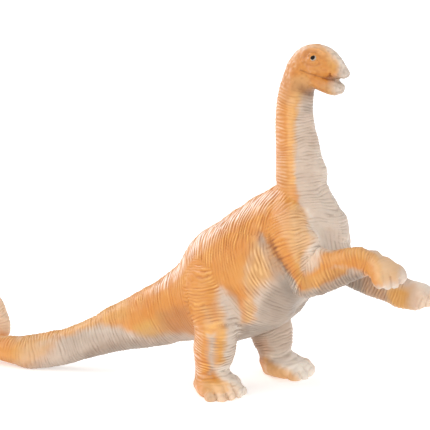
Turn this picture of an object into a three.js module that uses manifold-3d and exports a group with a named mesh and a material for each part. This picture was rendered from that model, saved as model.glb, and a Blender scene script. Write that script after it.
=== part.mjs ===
// Toy dinosaur figure: a long-necked plant eater that rears on its hind legs and props itself on its tail.
// It is an assembly of moulded vinyl pieces. The torso is two hollow half shells, and the neck, head, jaw,
// limbs and tail are separate mouldings whose keyed pegs are glued into sockets in those shells.
// Millimetres. +X is forward, +Y is the animal's left and +Z is up, from the surface that it stands on.
import * as THREE from 'three';
import { mergeVertices } from 'three/addons/utils/BufferGeometryUtils.js';
import Module from 'manifold-3d';

const wasm = await Module();
wasm.setup();

// Fits and walls
const glueGap = 0.3; // left between two glued faces
const wall = 3; // thickness of the torso shells
const socketWall = 2.4; // material round a peg's socket
const cutOverrun = 2; // how far a cutting body reaches past what it cuts
const weldTolerance = 0.0001; // points closer than this are one point

// Torso
const hipHeight = 61; // floor to the middle of the hips
const hipSetback = 28; // the hips' middle lies this far behind the middle of the stance
const torsoLength = 88; // hips to shoulders, as a run forward and as a rise
const torsoDepth = 93; // back to belly at the deepest section
const torsoWidth = 86; // flank to flank

// Neck
const neckLength = 104;
const neckBaseThickness = 39; // where it leaves the shoulders
const neckTopThickness = 25;

// Head
const headLength = 46;
const headWidth = 25;
const skullHeight = 22; // mouth line to crown
const jawLength = 29.5;
const jawHeight = 13;
const headPitch = -12; // degrees, nose below the horizontal
const eyeDiameter = 5.2;
const eyeStandsProud = 1.2;

// Tail
const tailReach = 120; // rump to the place where the tail rests on the floor
const tailSwing = 31; // sideways, to the animal's right
const tailRestThickness = 25.5;
const tailRestCut = 0.5; // depth of the flat on which the tail rests
const curlReach = 70; // from the resting place back to the furthest point of the curl's middle line
const curlRise = 39; // from the resting tail's middle line up to the curl's highest
const curlShift = 20.5; // the curl drifts this far sideways, so that the tip passes beside the tail
const curlThickness = 20;
const tipThickness = 11;

// Hind legs
const stanceWidth = 67; // middle of one foot to the middle of the other
const strideLength = 27; // the left foot stands this far ahead of the right one
const legHeight = 96; // floor to hip joint
const thighThickness = 44;
const shankThickness = 30;
const ankleThickness = 25;
const footLength = 40;
const footWidth = 38;
const footHeight = 21; // of the round pad before its sole is cut flat
const soleCut = 3; // how deep the flat sole is cut into the round pad
const toeLength = 14;
const toeWidth = 9;
const toeHeight = 10.5;

// Forelegs
const shoulderWidth = 62; // middle of one shoulder to the middle of the other
const upperArmLength = 42;
const forearmLength = 55;
const handLength = 16;
const shoulderThickness = 39;
const elbowThickness = 26;
const wristThickness = 20;
const handWidth = 25;
const handThickness = 17;
const fingerLength = 15;
const fingerWidth = 8;

// Pegs, their sockets and the pins that line up the torso shells
const limbPeg = { width: 14, height: 11, length: 16 };
const spinePeg = { width: 20, height: 15, length: 13 };
const smallPeg = { width: 8, height: 6, length: 7 };
const pegKeyShare = 0.3; // share of a peg's height that its key flat removes
const pinDiameter = 4;
const pinLength = 5;
const pinClearance = 0.15;

// Facets
const bodySides = 28;
const limbSides = 18;
const pegSides = 16;
const pinSides = 12;
const ringsPerSpan = 2;
const ringsPerCap = 2;
const pebbleSides = 10;
const pebbleRings = 6;

const orange = 0xe59a4e;
const cream = 0xd8c3ae;
const vinylRoughness = 0.42;

const degrees = Math.PI / 180;
const quarterTurn = 90; // degrees
const vector = (x, y, z) => new THREE.Vector3(x, y, z);
const mix = THREE.MathUtils.lerp;
const moved = (point, aim, distance) => point.clone().addScaledVector(aim, distance);

// A direction: pitch above the horizontal, yaw towards the animal's left.
function heading(pitch, yaw) {
  const level = Math.cos(pitch * degrees);
  const climb = Math.sin(pitch * degrees);
  return vector(level * Math.cos(yaw * degrees), level * Math.sin(yaw * degrees), climb);
}

// A closed three.js geometry as a solid that can be joined and cut.
function solid(geometry) {
  const bare = geometry.clone();
  bare.deleteAttribute('normal');
  bare.deleteAttribute('uv');
  const merged = mergeVertices(bare, weldTolerance);
  const vertProperties = merged.attributes.position.array;
  const triVerts = new Uint32Array(merged.index.array);
  return new wasm.Manifold(new wasm.Mesh({ numProp: 3, vertProperties, triVerts }));
}

// The largest body of a cut solid, without the slivers that a cut can leave.
function mainBody(cut) {
  return cut.decompose().reduce((a, b) => (b.volume() > a.volume() ? b : a));
}

// The part of a solid that lies ahead of a point.
function keepAhead(form, point, aim, clearance) {
  return form.trimByPlane(aim.toArray(), point.dot(aim) + clearance);
}

// A fleshy form along a spline. A station has its middle, at, and its half sizes: deep in the vertical plane
// and wide across it. Egg above 0 narrows the upper side of the section and widens the lower one. Both ends
// are rounded, and a blunt end reaches less far. Grow fattens the whole form evenly.
function fleshForm(stations, sides, { grow = 0, startBlunt = 0, endBlunt = 0 } = {}) {
  const path = new THREE.CatmullRomCurve3(stations.map((s) => s.at));
  const girths = stations.map((s) => vector(s.deep, s.wide, s.egg ?? 0));
  const girth = new THREE.CatmullRomCurve3(girths, false, 'catmullrom');
  const rings = [];
  const addRing = (t, outward, shrink) => {
    const tangent = path.getTangent(t);
    const across = vector(0, 1, 0).addScaledVector(tangent, -tangent.y).normalize();
    const upper = tangent.clone().cross(across);
    const size = girth.getPoint(t);
    const deep = (size.x + grow) * shrink;
    const wide = (size.y + grow) * shrink;
    const middle = moved(path.getPoint(t), tangent, outward);
    for (let k = 0; k < sides; k++) {
      const turn = (2 * Math.PI * k) / sides;
      const narrowing = 1 - size.z * Math.cos(turn);
      const point = moved(middle, upper, deep * Math.cos(turn));
      rings.push(moved(point, across, wide * narrowing * Math.sin(turn)));
    }
  };
  const capReach = (t, blunt) => {
    const size = girth.getPoint(t);
    return Math.min(size.x, size.y) * (1 - blunt) + grow;
  };
  const capStep = Math.PI / 2 / (ringsPerCap + 1);
  const capTurns = Array.from({ length: ringsPerCap }, (_, k) => (k + 1) * capStep);
  const startReach = capReach(0, startBlunt);
  const endReach = capReach(1, endBlunt);
  const spans = (stations.length - 1) * ringsPerSpan;
  for (const turn of [...capTurns].reverse()) addRing(0, -startReach * Math.sin(turn), Math.cos(turn));
  for (let k = 0; k <= spans; k++) addRing(k / spans, 0, 1);
  for (const turn of capTurns) addRing(1, endReach * Math.sin(turn), Math.cos(turn));

  const startPole = moved(path.getPoint(0), path.getTangent(0), -startReach);
  const endPole = moved(path.getPoint(1), path.getTangent(1), endReach);
  const points = [startPole, ...rings, endPole];
  const ringCount = rings.length / sides;
  const at = (ring, k) => 1 + ring * sides + (k % sides);
  const faces = [];
  for (let k = 0; k < sides; k++) {
    faces.push(0, at(0, k), at(0, k + 1));
    faces.push(points.length - 1, at(ringCount - 1, k + 1), at(ringCount - 1, k));
    for (let ring = 0; ring < ringCount - 1; ring++) {
      faces.push(at(ring, k), at(ring + 1, k), at(ring + 1, k + 1));
      faces.push(at(ring, k), at(ring + 1, k + 1), at(ring, k + 1));
    }
  }
  const geometry = new THREE.BufferGeometry().setFromPoints(points);
  geometry.setIndex(faces);
  return solid(geometry);
}

// An egg-shaped lump, its length along the aim and its width level.
function pebble(middle, aim, length, width, height) {
  const geometry = new THREE.SphereGeometry(1, pebbleSides, pebbleRings);
  const across = vector(0, 0, 1).cross(aim).normalize();
  const above = aim.clone().cross(across);
  geometry.scale(length / 2, width / 2, height / 2);
  geometry.applyMatrix4(new THREE.Matrix4().makeBasis(aim, across, above).setPosition(middle));
  return solid(geometry);
}

// A peg along the aim. Its outline is an oval with one side cut flat, so that it goes in only one way round.
function pegSolid(root, aim, length, { width, height }, grow) {
  const flatAt = height * (0.5 - pegKeyShare) + grow;
  const outline = Array.from({ length: pegSides }, (_, k) => {
    const turn = (2 * Math.PI * k) / pegSides;
    const x = (width / 2 + grow) * Math.cos(turn);
    const y = (height / 2 + grow) * Math.sin(turn);
    return new THREE.Vector2(x, Math.min(y, flatAt));
  });
  const section = new THREE.Shape(outline);
  const geometry = new THREE.ExtrudeGeometry(section, { depth: length, bevelEnabled: false });
  const mostlySideways = Math.abs(aim.y) > Math.abs(aim.x) + Math.abs(aim.z);
  const level = mostlySideways ? vector(1, 0, 0) : vector(0, 1, 0);
  const across = moved(level, aim, -level.dot(aim)).normalize();
  const above = aim.clone().cross(across);
  geometry.applyMatrix4(new THREE.Matrix4().makeBasis(across, above, aim).setPosition(root));
  return solid(geometry);
}

// A joint is a place on a seam with the direction in which its peg goes in and how far its root reaches
// back. Socket bodies are the same peg grown by the gap, and bosses are grown by the gap and the socket's wall.
const pegOf = ({ seat, aim, root, size }) =>
  pegSolid(moved(seat, aim, -root), aim, root + size.length, size, 0);
const socketOf = ({ seat, aim, root, size }, grow = glueGap) =>
  pegSolid(moved(seat, aim, -root), aim, root + size.length + grow, size, grow);
const bossOf = (joint) => socketOf(joint, glueGap + socketWall);

// Torso and tail
const hips = vector(-hipSetback, 0, hipHeight);
const onTorso = ({ along, rise }, y = 0) =>
  hips.clone().add(vector(along * torsoLength, y, rise * torsoLength));
const rumpPlaceShares = { along: -0.28, rise: -0.06 };
const rump = onTorso(rumpPlaceShares);

// Along and rise are shares of the torso's length from the hips, and deep and wide of its depth and width.
const torsoStationShares = [
  { ...rumpPlaceShares, deep: 0.316, wide: 0.33, egg: 0.04 },
  { along: -0.035, rise: 0.05, deep: 0.415, wide: 0.43, egg: 0.08 },
  { along: 0.135, rise: 0.165, deep: 0.465, wide: 0.485, egg: 0.12 },
  { along: 0.31, rise: 0.285, deep: 0.49, wide: 0.5, egg: 0.14 },
  { along: 0.495, rise: 0.44, deep: 0.49, wide: 0.49, egg: 0.14 },
  { along: 0.77, rise: 0.685, deep: 0.425, wide: 0.42, egg: 0.08 },
];
const torsoStations = torsoStationShares.map(({ along, rise, deep, wide, egg }) => ({
  at: onTorso({ along, rise }),
  deep: deep * torsoDepth,
  wide: wide * torsoWidth,
  egg,
}));

// Reach and swing are shares of the tail's reach and swing. Lift is 0 at rest and 1 at the rump's height,
// and thick is 0 at the resting thickness and 1 at the rump's.
const tailStationShares = [
  { reach: 1, swing: 1, lift: 0, thick: 0 },
  { reach: 0.8, swing: 0.77, lift: 0.12, thick: 0.07 },
  { reach: 0.5, swing: 0.39, lift: 0.43, thick: 0.25 },
  { reach: 0.22, swing: 0.12, lift: 0.73, thick: 0.6 },
];
const tailRestHeight = tailRestThickness / 2 - tailRestCut;
const tailStations = tailStationShares.map(({ reach, swing, lift, thick }) => {
  const at = vector(rump.x - reach * tailReach, -swing * tailSwing, mix(tailRestHeight, rump.z, lift));
  const half = mix(tailRestThickness / 2, torsoStations[0].deep, thick);
  return { at, deep: half, wide: half };
});

// The curl runs on from the resting place, turns up and over, and its tip comes down beside the tail. Back,
// rise and shift are shares of its reach, rise and shift. Thick is 1 at the curl's thickness and 0 at the tip's.
const curlStationShares = [
  { back: 0.54, rise: 0.19, shift: 1, thick: 0 },
  { back: 0.55, rise: 0.45, shift: 1, thick: 0.16 },
  { back: 0.62, rise: 0.77, shift: 0.95, thick: 0.25 },
  { back: 0.76, rise: 1, shift: 0.85, thick: 0.34 },
  { back: 0.9, rise: 0.97, shift: 0.66, thick: 0.43 },
  { back: 1, rise: 0.7, shift: 0.42, thick: 0.56 },
  { back: 0.94, rise: 0.36, shift: 0.2, thick: 0.72 },
  { back: 0.72, rise: 0.07, shift: 0.05, thick: 0.89 },
  { back: 0.39, rise: -0.02, shift: 0, thick: 1 },
];
const curlStations = curlStationShares.map(({ back, rise, shift, thick }) => {
  const away = vector(-back * curlReach, shift * curlShift, rise * curlRise);
  const half = mix(tipThickness, curlThickness, thick) / 2;
  return { at: tailStations[0].at.clone().add(away), deep: half, wide: half };
});

// Tail and torso are one flowing form, which flat seams divide.
const shoulderBlunt = 0.3;
const bodyStations = [...curlStations, ...tailStations, ...torsoStations];
const bodyPath = new THREE.CatmullRomCurve3(bodyStations.map((s) => s.at));
const bodyForm = (grow) => fleshForm(bodyStations, bodySides, { grow, endBlunt: shoulderBlunt });
const outerBody = bodyForm(0).trimByPlane([0, 0, 1], 0);
const bodyClearance = bodyForm(glueGap);
const seamBehindRump = 0.6; // stations
const seamAheadOfRest = 0.6; // stations
const rumpIndex = bodyStations.length - torsoStations.length;
const restIndex = bodyStations.indexOf(tailStations[0]);
const tailSeam = bodySeam(rumpIndex - seamBehindRump);
const curlSeam = bodySeam(restIndex + seamAheadOfRest);

// A flat seam across the body, at a place counted in stations from the tip of the tail.
function bodySeam(index) {
  const t = index / (bodyStations.length - 1);
  return { seat: bodyPath.getPoint(t), aim: bodyPath.getTangent(t) };
}

const tailJoint = { ...tailSeam, root: cutOverrun, size: spinePeg };
const curlJoint = { ...curlSeam, root: cutOverrun, size: smallPeg };

// Neck: rise and lean are shares of its length, thick is 0 at the top's thickness and 1 at the base's.
const neckFootShares = { along: 0.74, rise: 0.8 };
const neckStationShares = [
  { rise: -0.08, lean: 0.1, thick: 1.75 },
  { rise: 0.04, lean: 0.06, thick: 1.45 },
  { rise: 0.18, lean: 0.01, thick: 0.95 },
  { rise: 0.33, lean: -0.005, thick: 0.68 },
  { rise: 0.47, lean: -0.02, thick: 0.48 },
  { rise: 0.59, lean: -0.04, thick: 0.27 },
  { rise: 0.72, lean: -0.05, thick: 0.1 },
  { rise: 0.88, lean: -0.032, thick: -0.01 },
  { rise: 1.01, lean: 0.015, thick: -0.05 },
];
const neckFoot = onTorso(neckFootShares);
const neckStations = neckStationShares.map(({ rise, lean, thick }) => {
  const at = neckFoot.clone().add(vector(lean * neckLength, 0, rise * neckLength));
  const half = mix(neckTopThickness, neckBaseThickness, thick) / 2;
  return { at, deep: half, wide: half };
});
const neckPath = new THREE.CatmullRomCurve3(neckStations.map((s) => s.at));
const neckForm = (grow) => fleshForm(neckStations, limbSides, { grow });
const neckSeatShare = 0.26;
const neckJoint = {
  seat: neckPath.getPoint(neckSeatShare),
  aim: vector(0, 0, -1),
  root: neckBaseThickness / 4,
  size: spinePeg,
};
const headSeamShare = 0.88;
const headJoint = {
  seat: neckPath.getPoint(headSeamShare),
  aim: neckPath.getTangent(headSeamShare),
  root: cutOverrun,
  size: smallPeg,
};

// Head: along is a share of its length from the mouth's corner. Top and bottom are shares of the skull's
// height above and below the mouth line, or of the jaw's height, and wide is a share of the head's width. Egg
// is how far the upper side of a section is narrowed.
const mouthCornerRiseShare = 1.01; // of the neck's length, from its foot
const mouthCorner = moved(neckFoot, vector(0, 0, 1), mouthCornerRiseShare * neckLength);
const headAim = heading(headPitch, 0);
const headUp = heading(headPitch + quarterTurn, 0);
const onHead = (along, up) => moved(moved(mouthCorner, headAim, along), headUp, up);
const headStations = (table, length, height) =>
  table.map(({ along, top, bottom, wide, egg }) => ({
    at: onHead(along * length, ((top - bottom) / 2) * height),
    deep: ((top + bottom) / 2) * height,
    wide: wide * headWidth,
    egg,
  }));
const skullStationShares = [
  { along: 0.02, top: 0.6, bottom: 0.45, wide: 0.35, egg: 0.1 },
  { along: 0.12, top: 0.86, bottom: 0.3, wide: 0.43, egg: 0.18 },
  { along: 0.24, top: 1, bottom: 0.15, wide: 0.47, egg: 0.22 },
  { along: 0.38, top: 0.98, bottom: 0.06, wide: 0.43, egg: 0.3 },
  { along: 0.51, top: 0.81, bottom: -0.03, wide: 0.355, egg: 0.34 },
  { along: 0.62, top: 0.61, bottom: -0.06, wide: 0.3, egg: 0.34 },
  { along: 0.71, top: 0.41, bottom: -0.09, wide: 0.25, egg: 0.3 },
];
const jawStationShares = [
  { along: 0.18, top: 0.38, bottom: 0.58, wide: 0.37, egg: 0 },
  { along: 0.42, top: 0.36, bottom: 0.73, wide: 0.43, egg: 0 },
  { along: 0.64, top: 0.2, bottom: 0.83, wide: 0.39, egg: 0 },
  { along: 0.84, top: 0.02, bottom: 0.88, wide: 0.34, egg: 0 },
  { along: 0.99, top: -0.06, bottom: 0.84, wide: 0.29, egg: 0 },
  { along: 1.1, top: -0.15, bottom: 0.7, wide: 0.22, egg: 0 },
];
const skullForm = fleshForm(headStations(skullStationShares, headLength, skullHeight), limbSides, {
  endBlunt: 0.3,
});
const jawForm = (grow) =>
  fleshForm(headStations(jawStationShares, jawLength, jawHeight), limbSides, { grow, endBlunt: 0.4 });
const eyePlaceShares = { along: 0.195, up: 0.6, out: 0.42 }; // of the head's length, skull height and width

// The legs differ from side to side, because the figure is caught in mid stride. Side is 1 on the animal's
// left and -1 on its right.
const sideName = (side) => (side > 0 ? 'left' : 'right');

// A limb's joint: its peg runs level into the flank. Out is the share of the torso's width from its middle
// to the peg's root.
function flankJoint(place, side) {
  const seat = onTorso(place, side * place.out * torsoWidth);
  return { seat, aim: vector(0, -side, 0), root: 0, size: limbPeg };
}
const hipJointShares = {
  right: { along: 0.1, rise: 0.1, out: 0.48 },
  left: { along: 0.21, rise: 0.07, out: 0.505 },
};
const shoulderShares = { along: 0.72, rise: 0.77 };
const shoulderJointShares = { along: 0.79, rise: 0.64, out: 0.44 };

// A limb cut to the torso's flank, with its peg.
function gluedToFlank(limb, joint) {
  return mainBody(limb.subtract(bodyClearance).subtract(neckForm(glueGap))).add(pegOf(joint));
}

// Hind legs. Up is a share of the leg's height, and the half sizes are shares of the named thickness. Back
// and out place the leg's middle behind and outside the middle of its foot, as shares of the thigh's
// thickness.
const legGirthShares = [
  { up: 1, of: thighThickness, deep: 0.4, wide: 0.3 },
  { up: 0.86, of: thighThickness, deep: 0.48, wide: 0.38 },
  { up: 0.69, of: thighThickness, deep: 0.43, wide: 0.385 },
  { up: 0.54, of: shankThickness, deep: 0.535, wide: 0.52 },
  { up: 0.42, of: shankThickness, deep: 0.51, wide: 0.505 },
  { up: 0.32, of: shankThickness, deep: 0.5, wide: 0.5 },
  { up: 0.2, of: ankleThickness, deep: 0.5, wide: 0.5 },
  { up: 0.1, of: ankleThickness, deep: 0.56, wide: 0.56 },
];
const legPoseShares = {
  right: {
    back: [0.2, 0.17, 0.09, 0.02, 0.05, 0.09, 0.13, 0.12],
    out: [-0.42, -0.22, -0.07, 0, -0.01, -0.03, -0.07, -0.07],
  },
  left: {
    back: [0.6, 0.56, 0.47, 0.4, 0.33, 0.27, 0.22, 0.2],
    out: [-0.42, -0.22, -0.07, 0, 0, 0, 0, 0],
  },
};
const toeOut = { right: 35, left: 2 }; // degrees
const toeFan = [-46, -23, 0, 23, 46]; // degrees
const toeReachShare = 0.39; // of the foot's length, from its middle to the middle of a toe
const toePitch = -14; // degrees

function hindLeg(side) {
  const pose = legPoseShares[sideName(side)];
  const foot = vector((side * strideLength) / 2, (side * stanceWidth) / 2, 0);
  const stations = legGirthShares.map(({ up, of, deep, wide }, k) => {
    const back = pose.back[k] * thighThickness;
    const out = pose.out[k] * thighThickness;
    const away = vector(-back, side * out, up * legHeight);
    return { at: foot.clone().add(away), deep: deep * of, wide: wide * of };
  });
  const yaw = side * toeOut[sideName(side)];
  const padMiddle = vector(foot.x, foot.y, footHeight / 2 - soleCut);
  const pad = pebble(padMiddle, heading(0, yaw), footLength, footWidth, footHeight);
  let leg = fleshForm(stations, limbSides).add(pad);
  for (const fan of toeFan) {
    const middle = moved(foot, heading(0, yaw + fan), toeReachShare * footLength);
    middle.setZ((toeHeight - soleCut) / 2);
    leg = leg.add(pebble(middle, heading(toePitch, yaw + fan), toeLength, toeWidth, toeHeight));
  }
  const joint = flankJoint(hipJointShares[sideName(side)], side);
  return gluedToFlank(leg.trimByPlane([0, 0, 1], 0), joint);
}

// Forelegs: pitches are in degrees above the horizontal, and splay and turnOut are degrees outwards.
const armPose = {
  right: { upper: -63, fore: 31, wrist: 10, hand: -31, splay: 9, turnOut: 28 },
  left: { upper: -62, fore: -25, wrist: -15, hand: -8, splay: 5, turnOut: 0 },
};
const upperArmShares = [
  { along: -0.06, inward: 0.26, deep: 0.42, wide: 0.34 },
  { along: 0.32, inward: 0.07, deep: 0.45, wide: 0.37 },
  { along: 0.72, inward: 0, deep: 0.36, wide: 0.33 },
  { along: 0.97, inward: 0, deep: 0.3, wide: 0.29 },
];
const forearmShares = [
  { along: 0, of: elbowThickness, deep: 0.48, wide: 0.47 },
  { along: 0.32, of: elbowThickness, deep: 0.485, wide: 0.47 },
  { along: 0.62, of: elbowThickness, deep: 0.45, wide: 0.44 },
  { along: 1, of: wristThickness, deep: 0.48, wide: 0.5 },
];
const palmShares = [
  { along: 0.5, deep: 0.52, wide: 0.46 },
  { along: 1, deep: 0.5, wide: 0.47 },
];
const fingerFanShares = [-0.36, -0.12, 0.12, 0.36]; // of the hand's width, from its middle
const knuckleShare = 1.2; // of the hand's length, from the wrist to the middle finger's middle
const knuckleArchShare = 1.2; // of the hand's length, how much further back the outer fingers sit
const fingerThicknessShare = 0.75; // of the hand's thickness
const fingerSpread = 30; // degrees of yaw for one hand's width
const fingerDroop = 20; // degrees below the hand

function foreleg(side) {
  const pose = armPose[sideName(side)];
  const shoulder = onTorso(shoulderShares, (side * shoulderWidth) / 2);
  const upperAim = heading(pose.upper, side * pose.splay);
  const foreAim = heading(pose.fore, 0);
  const wristAim = heading(pose.wrist, 0);
  const handYaw = side * pose.turnOut;
  const handAim = heading(pose.hand, handYaw);
  const acrossHand = heading(0, handYaw + quarterTurn);
  const elbow = moved(shoulder, upperAim, upperArmLength);
  const towardsFlank = vector(0, -side, 0);
  const onUpperArm = (along) => moved(shoulder, upperAim, along * upperArmLength);
  const upper = upperArmShares.map(({ along, inward, deep, wide }) => ({
    at: moved(onUpperArm(along), towardsFlank, inward * shoulderThickness),
    deep: deep * shoulderThickness,
    wide: wide * shoulderThickness,
  }));
  // The forearm sets out along its own aim and ends along the wrist's.
  const onForearm = (along) => {
    const bend = (along * along) / 2;
    return moved(moved(elbow, foreAim, (along - bend) * forearmLength), wristAim, bend * forearmLength);
  };
  const fore = forearmShares.map(({ along, of, deep, wide }) => ({
    at: onForearm(along),
    deep: deep * of,
    wide: wide * of,
  }));
  const onHand = (along) => moved(onForearm(1), handAim, along * handLength);
  const palm = palmShares.map(({ along, deep, wide }) => ({
    at: onHand(along),
    deep: deep * handThickness,
    wide: wide * handWidth,
  }));
  let arm = fleshForm(upper, limbSides).add(fleshForm([...fore, ...palm], limbSides));
  for (const fan of fingerFanShares) {
    const reach = knuckleShare - knuckleArchShare * fan * fan;
    const knuckle = moved(onHand(reach), acrossHand, fan * handWidth);
    const aim = heading(pose.hand - fingerDroop, handYaw + fan * fingerSpread);
    arm = arm.add(pebble(knuckle, aim, fingerLength, fingerWidth, handThickness * fingerThicknessShare));
  }
  return gluedToFlank(arm, flankJoint(shoulderJointShares, side));
}

function neck() {
  const column = mainBody(neckForm(0).subtract(bodyClearance));
  return keepAhead(column, headJoint.seat, headJoint.aim.clone().negate(), glueGap / 2)
    .add(pegOf(neckJoint))
    .add(pegOf(headJoint));
}

// The room that the neck, its peg and its glue need in the head.
function neckClearance() {
  const downNeck = headJoint.aim.clone().negate();
  const column = keepAhead(neckForm(glueGap), headJoint.seat, downNeck, -glueGap / 2);
  return column.add(socketOf(headJoint));
}

function head() {
  let made = skullForm.add(keepAhead(neckForm(0), headJoint.seat, headJoint.aim, glueGap / 2));
  made = made.subtract(neckClearance()).subtract(jawForm(glueGap));
  for (const side of [-1, 1]) {
    const { along, up, out } = eyePlaceShares;
    const middle = onHead(along * headLength, up * skullHeight).setY(side * out * headWidth);
    made = made.add(pebble(middle, headAim, eyeDiameter, 2 * eyeStandsProud, eyeDiameter));
  }
  return mainBody(made);
}

function lowerJaw() {
  return mainBody(jawForm(0).subtract(neckClearance()));
}

function tail() {
  const behind = keepAhead(outerBody, tailJoint.seat, tailJoint.aim.clone().negate(), glueGap / 2);
  return keepAhead(behind, curlJoint.seat, curlJoint.aim, glueGap / 2)
    .add(pegOf(tailJoint))
    .subtract(socketOf(curlJoint));
}

function tailCurl() {
  const behind = keepAhead(outerBody, curlJoint.seat, curlJoint.aim.clone().negate(), glueGap / 2);
  return behind.add(pegOf(curlJoint));
}

// Torso shells: the left one carries the pins, and the right one has their bores.
const pinPlaceShares = [
  { along: 0.02, rise: 0.37 },
  { along: 0.34, rise: 0.72 },
  { along: 0.2, rise: -0.26 },
  { along: 0.8, rise: 0.4 },
];

function crossPin(place, diameter, length) {
  const geometry = new THREE.CylinderGeometry(diameter / 2, diameter / 2, length, pinSides);
  const middle = onTorso(place);
  geometry.translate(middle.x, middle.y, middle.z);
  return solid(geometry);
}

function torsoShell(side) {
  const outer = keepAhead(outerBody, tailJoint.seat, tailJoint.aim, glueGap / 2);
  const inner = fleshForm(torsoStations, bodySides, { grow: -wall, endBlunt: shoulderBlunt });
  const joints = [
    flankJoint(hipJointShares[sideName(side)], side),
    flankJoint(shoulderJointShares, side),
    neckJoint,
    tailJoint,
  ];
  const pinBoss = pinDiameter + 2 * socketWall;
  let shell = outer.subtract(inner);
  for (const joint of joints) shell = shell.add(bossOf(joint).intersect(outer));
  for (const place of pinPlaceShares) {
    shell = shell.add(crossPin(place, pinBoss, 2 * (pinLength + socketWall)).intersect(outer));
  }
  for (const joint of joints) shell = shell.subtract(socketOf(joint));
  shell = shell.trimByPlane([0, side, 0], glueGap / 2);
  for (const place of pinPlaceShares) {
    const bore = crossPin(place, pinDiameter + 2 * pinClearance, 2 * (pinLength + glueGap));
    shell = side > 0 ? shell.add(crossPin(place, pinDiameter, 2 * pinLength)) : shell.subtract(bore);
  }
  return mainBody(shell);
}

// The solid as a named three.js mesh.
function piece(name, made, colour) {
  const mesh = made.getMesh();
  const geometry = new THREE.BufferGeometry();
  geometry.setAttribute('position', new THREE.BufferAttribute(mesh.vertProperties, mesh.numProp));
  geometry.setIndex(new THREE.BufferAttribute(mesh.triVerts, 1));
  geometry.computeVertexNormals();
  const finish = { color: colour, roughness: vinylRoughness, metalness: 0 };
  const material = new THREE.MeshStandardMaterial(finish);
  const named = new THREE.Mesh(geometry, material);
  named.name = name;
  return named;
}

const figure = new THREE.Group();
figure.add(piece('torso_left_shell', torsoShell(1), orange));
figure.add(piece('torso_right_shell', torsoShell(-1), orange));
figure.add(piece('neck', neck(), cream));
figure.add(piece('head', head(), orange));
figure.add(piece('lower_jaw', lowerJaw(), cream));
figure.add(piece('left_foreleg', foreleg(1), orange));
figure.add(piece('right_foreleg', foreleg(-1), orange));
figure.add(piece('left_hind_leg', hindLeg(1), cream));
figure.add(piece('right_hind_leg', hindLeg(-1), orange));
figure.add(piece('tail', tail(), cream));
figure.add(piece('tail_curl', tailCurl(), orange));

// The origin is the middle of the figure's footprint, on the surface that it stands on.
const extent = new THREE.Box3().setFromObject(figure);
const middle = extent.getCenter(new THREE.Vector3());
figure.position.set(-middle.x, -middle.y, -extent.min.z);

export default figure;
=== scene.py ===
"""Toy dinosaur figure of soft vinyl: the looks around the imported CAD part.

The CAD pieces are joined into one skin, which is rounded off, wrinkled and painted, and then divided again
along the seams between the CAD pieces, so that the skin runs on unbroken from piece to piece. Lengths are
millimetres in the row's frame until a mesh is made from them. Left and right are the animal's own: the camera
sees its right side, the near one.
"""

import math

import bpy
import numpy as np
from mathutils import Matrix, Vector
from mathutils.bvhtree import BVHTree


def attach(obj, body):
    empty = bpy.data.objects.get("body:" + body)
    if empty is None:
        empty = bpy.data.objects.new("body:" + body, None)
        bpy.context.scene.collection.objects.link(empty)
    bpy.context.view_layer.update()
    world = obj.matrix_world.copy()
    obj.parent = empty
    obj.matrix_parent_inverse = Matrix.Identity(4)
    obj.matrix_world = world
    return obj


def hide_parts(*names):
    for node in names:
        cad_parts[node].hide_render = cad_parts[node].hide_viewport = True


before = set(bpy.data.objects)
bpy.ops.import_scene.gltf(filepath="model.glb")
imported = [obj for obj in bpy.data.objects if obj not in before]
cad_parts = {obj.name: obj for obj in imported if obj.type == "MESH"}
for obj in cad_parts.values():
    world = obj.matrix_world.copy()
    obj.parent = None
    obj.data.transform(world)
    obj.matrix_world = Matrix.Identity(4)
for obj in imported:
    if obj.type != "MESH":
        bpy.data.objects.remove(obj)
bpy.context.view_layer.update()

MM = 0.001
BODY = "root"
NODES = sorted(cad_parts)

# Camera: it looks at the figure from the right, ahead of square, and a little down.
AZIMUTH = 24.0  # in degrees, like the next
ELEVATION = 11.0
DISTANCE = 1200.0
AIM = np.array((24.0, 12.2, 123.7))  # what the camera looks at
IMAGE_PIXELS = 430
FOCAL_PIXELS = 1600.0
SENSOR = 36.0
CLIP_END = 100.0  # in metres

# The middle of the stance, from which the centre lines below are measured
STANCE = np.array((59.13, 1.56, 0.0))
SIDEWAYS = np.array((0.0, 1.0, 0.0))

# Skin
VOXEL = 1.2  # cells of the grid that joins the CAD pieces
CLOSING = 0.32  # how far each CAD piece is fattened, to close the glued joints
RELAX_ROUNDS = 36  # how often the joined skin is smoothed
STEP_IN, STEP_OUT = 0.6, -0.62  # shares of a smoothing step inwards, and of the one back outwards
FADE = 5.0  # over how many millimetres a region fades out
REACH = 30.0  # from how far away a CAD piece has a share in the skin's regions
LABEL_REACH = 12.0  # and from how far away a face can belong to it
LABEL_ROUNDS = 3  # how often the seams between the pieces are smoothed
CLEAN_ROUNDS = 12  # and how often at most they are cleaned of stray faces
WELD = 0.001  # vertices in the same cell of this size are one

# Centre lines: the places that each is divided into, how often they are smoothed, and how many points are
# compared with them at a time
SPINE_STEPS, LIMB_STEPS = 420, 160
PATH_ROUNDS = 6
BLOCK = 4000

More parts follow.
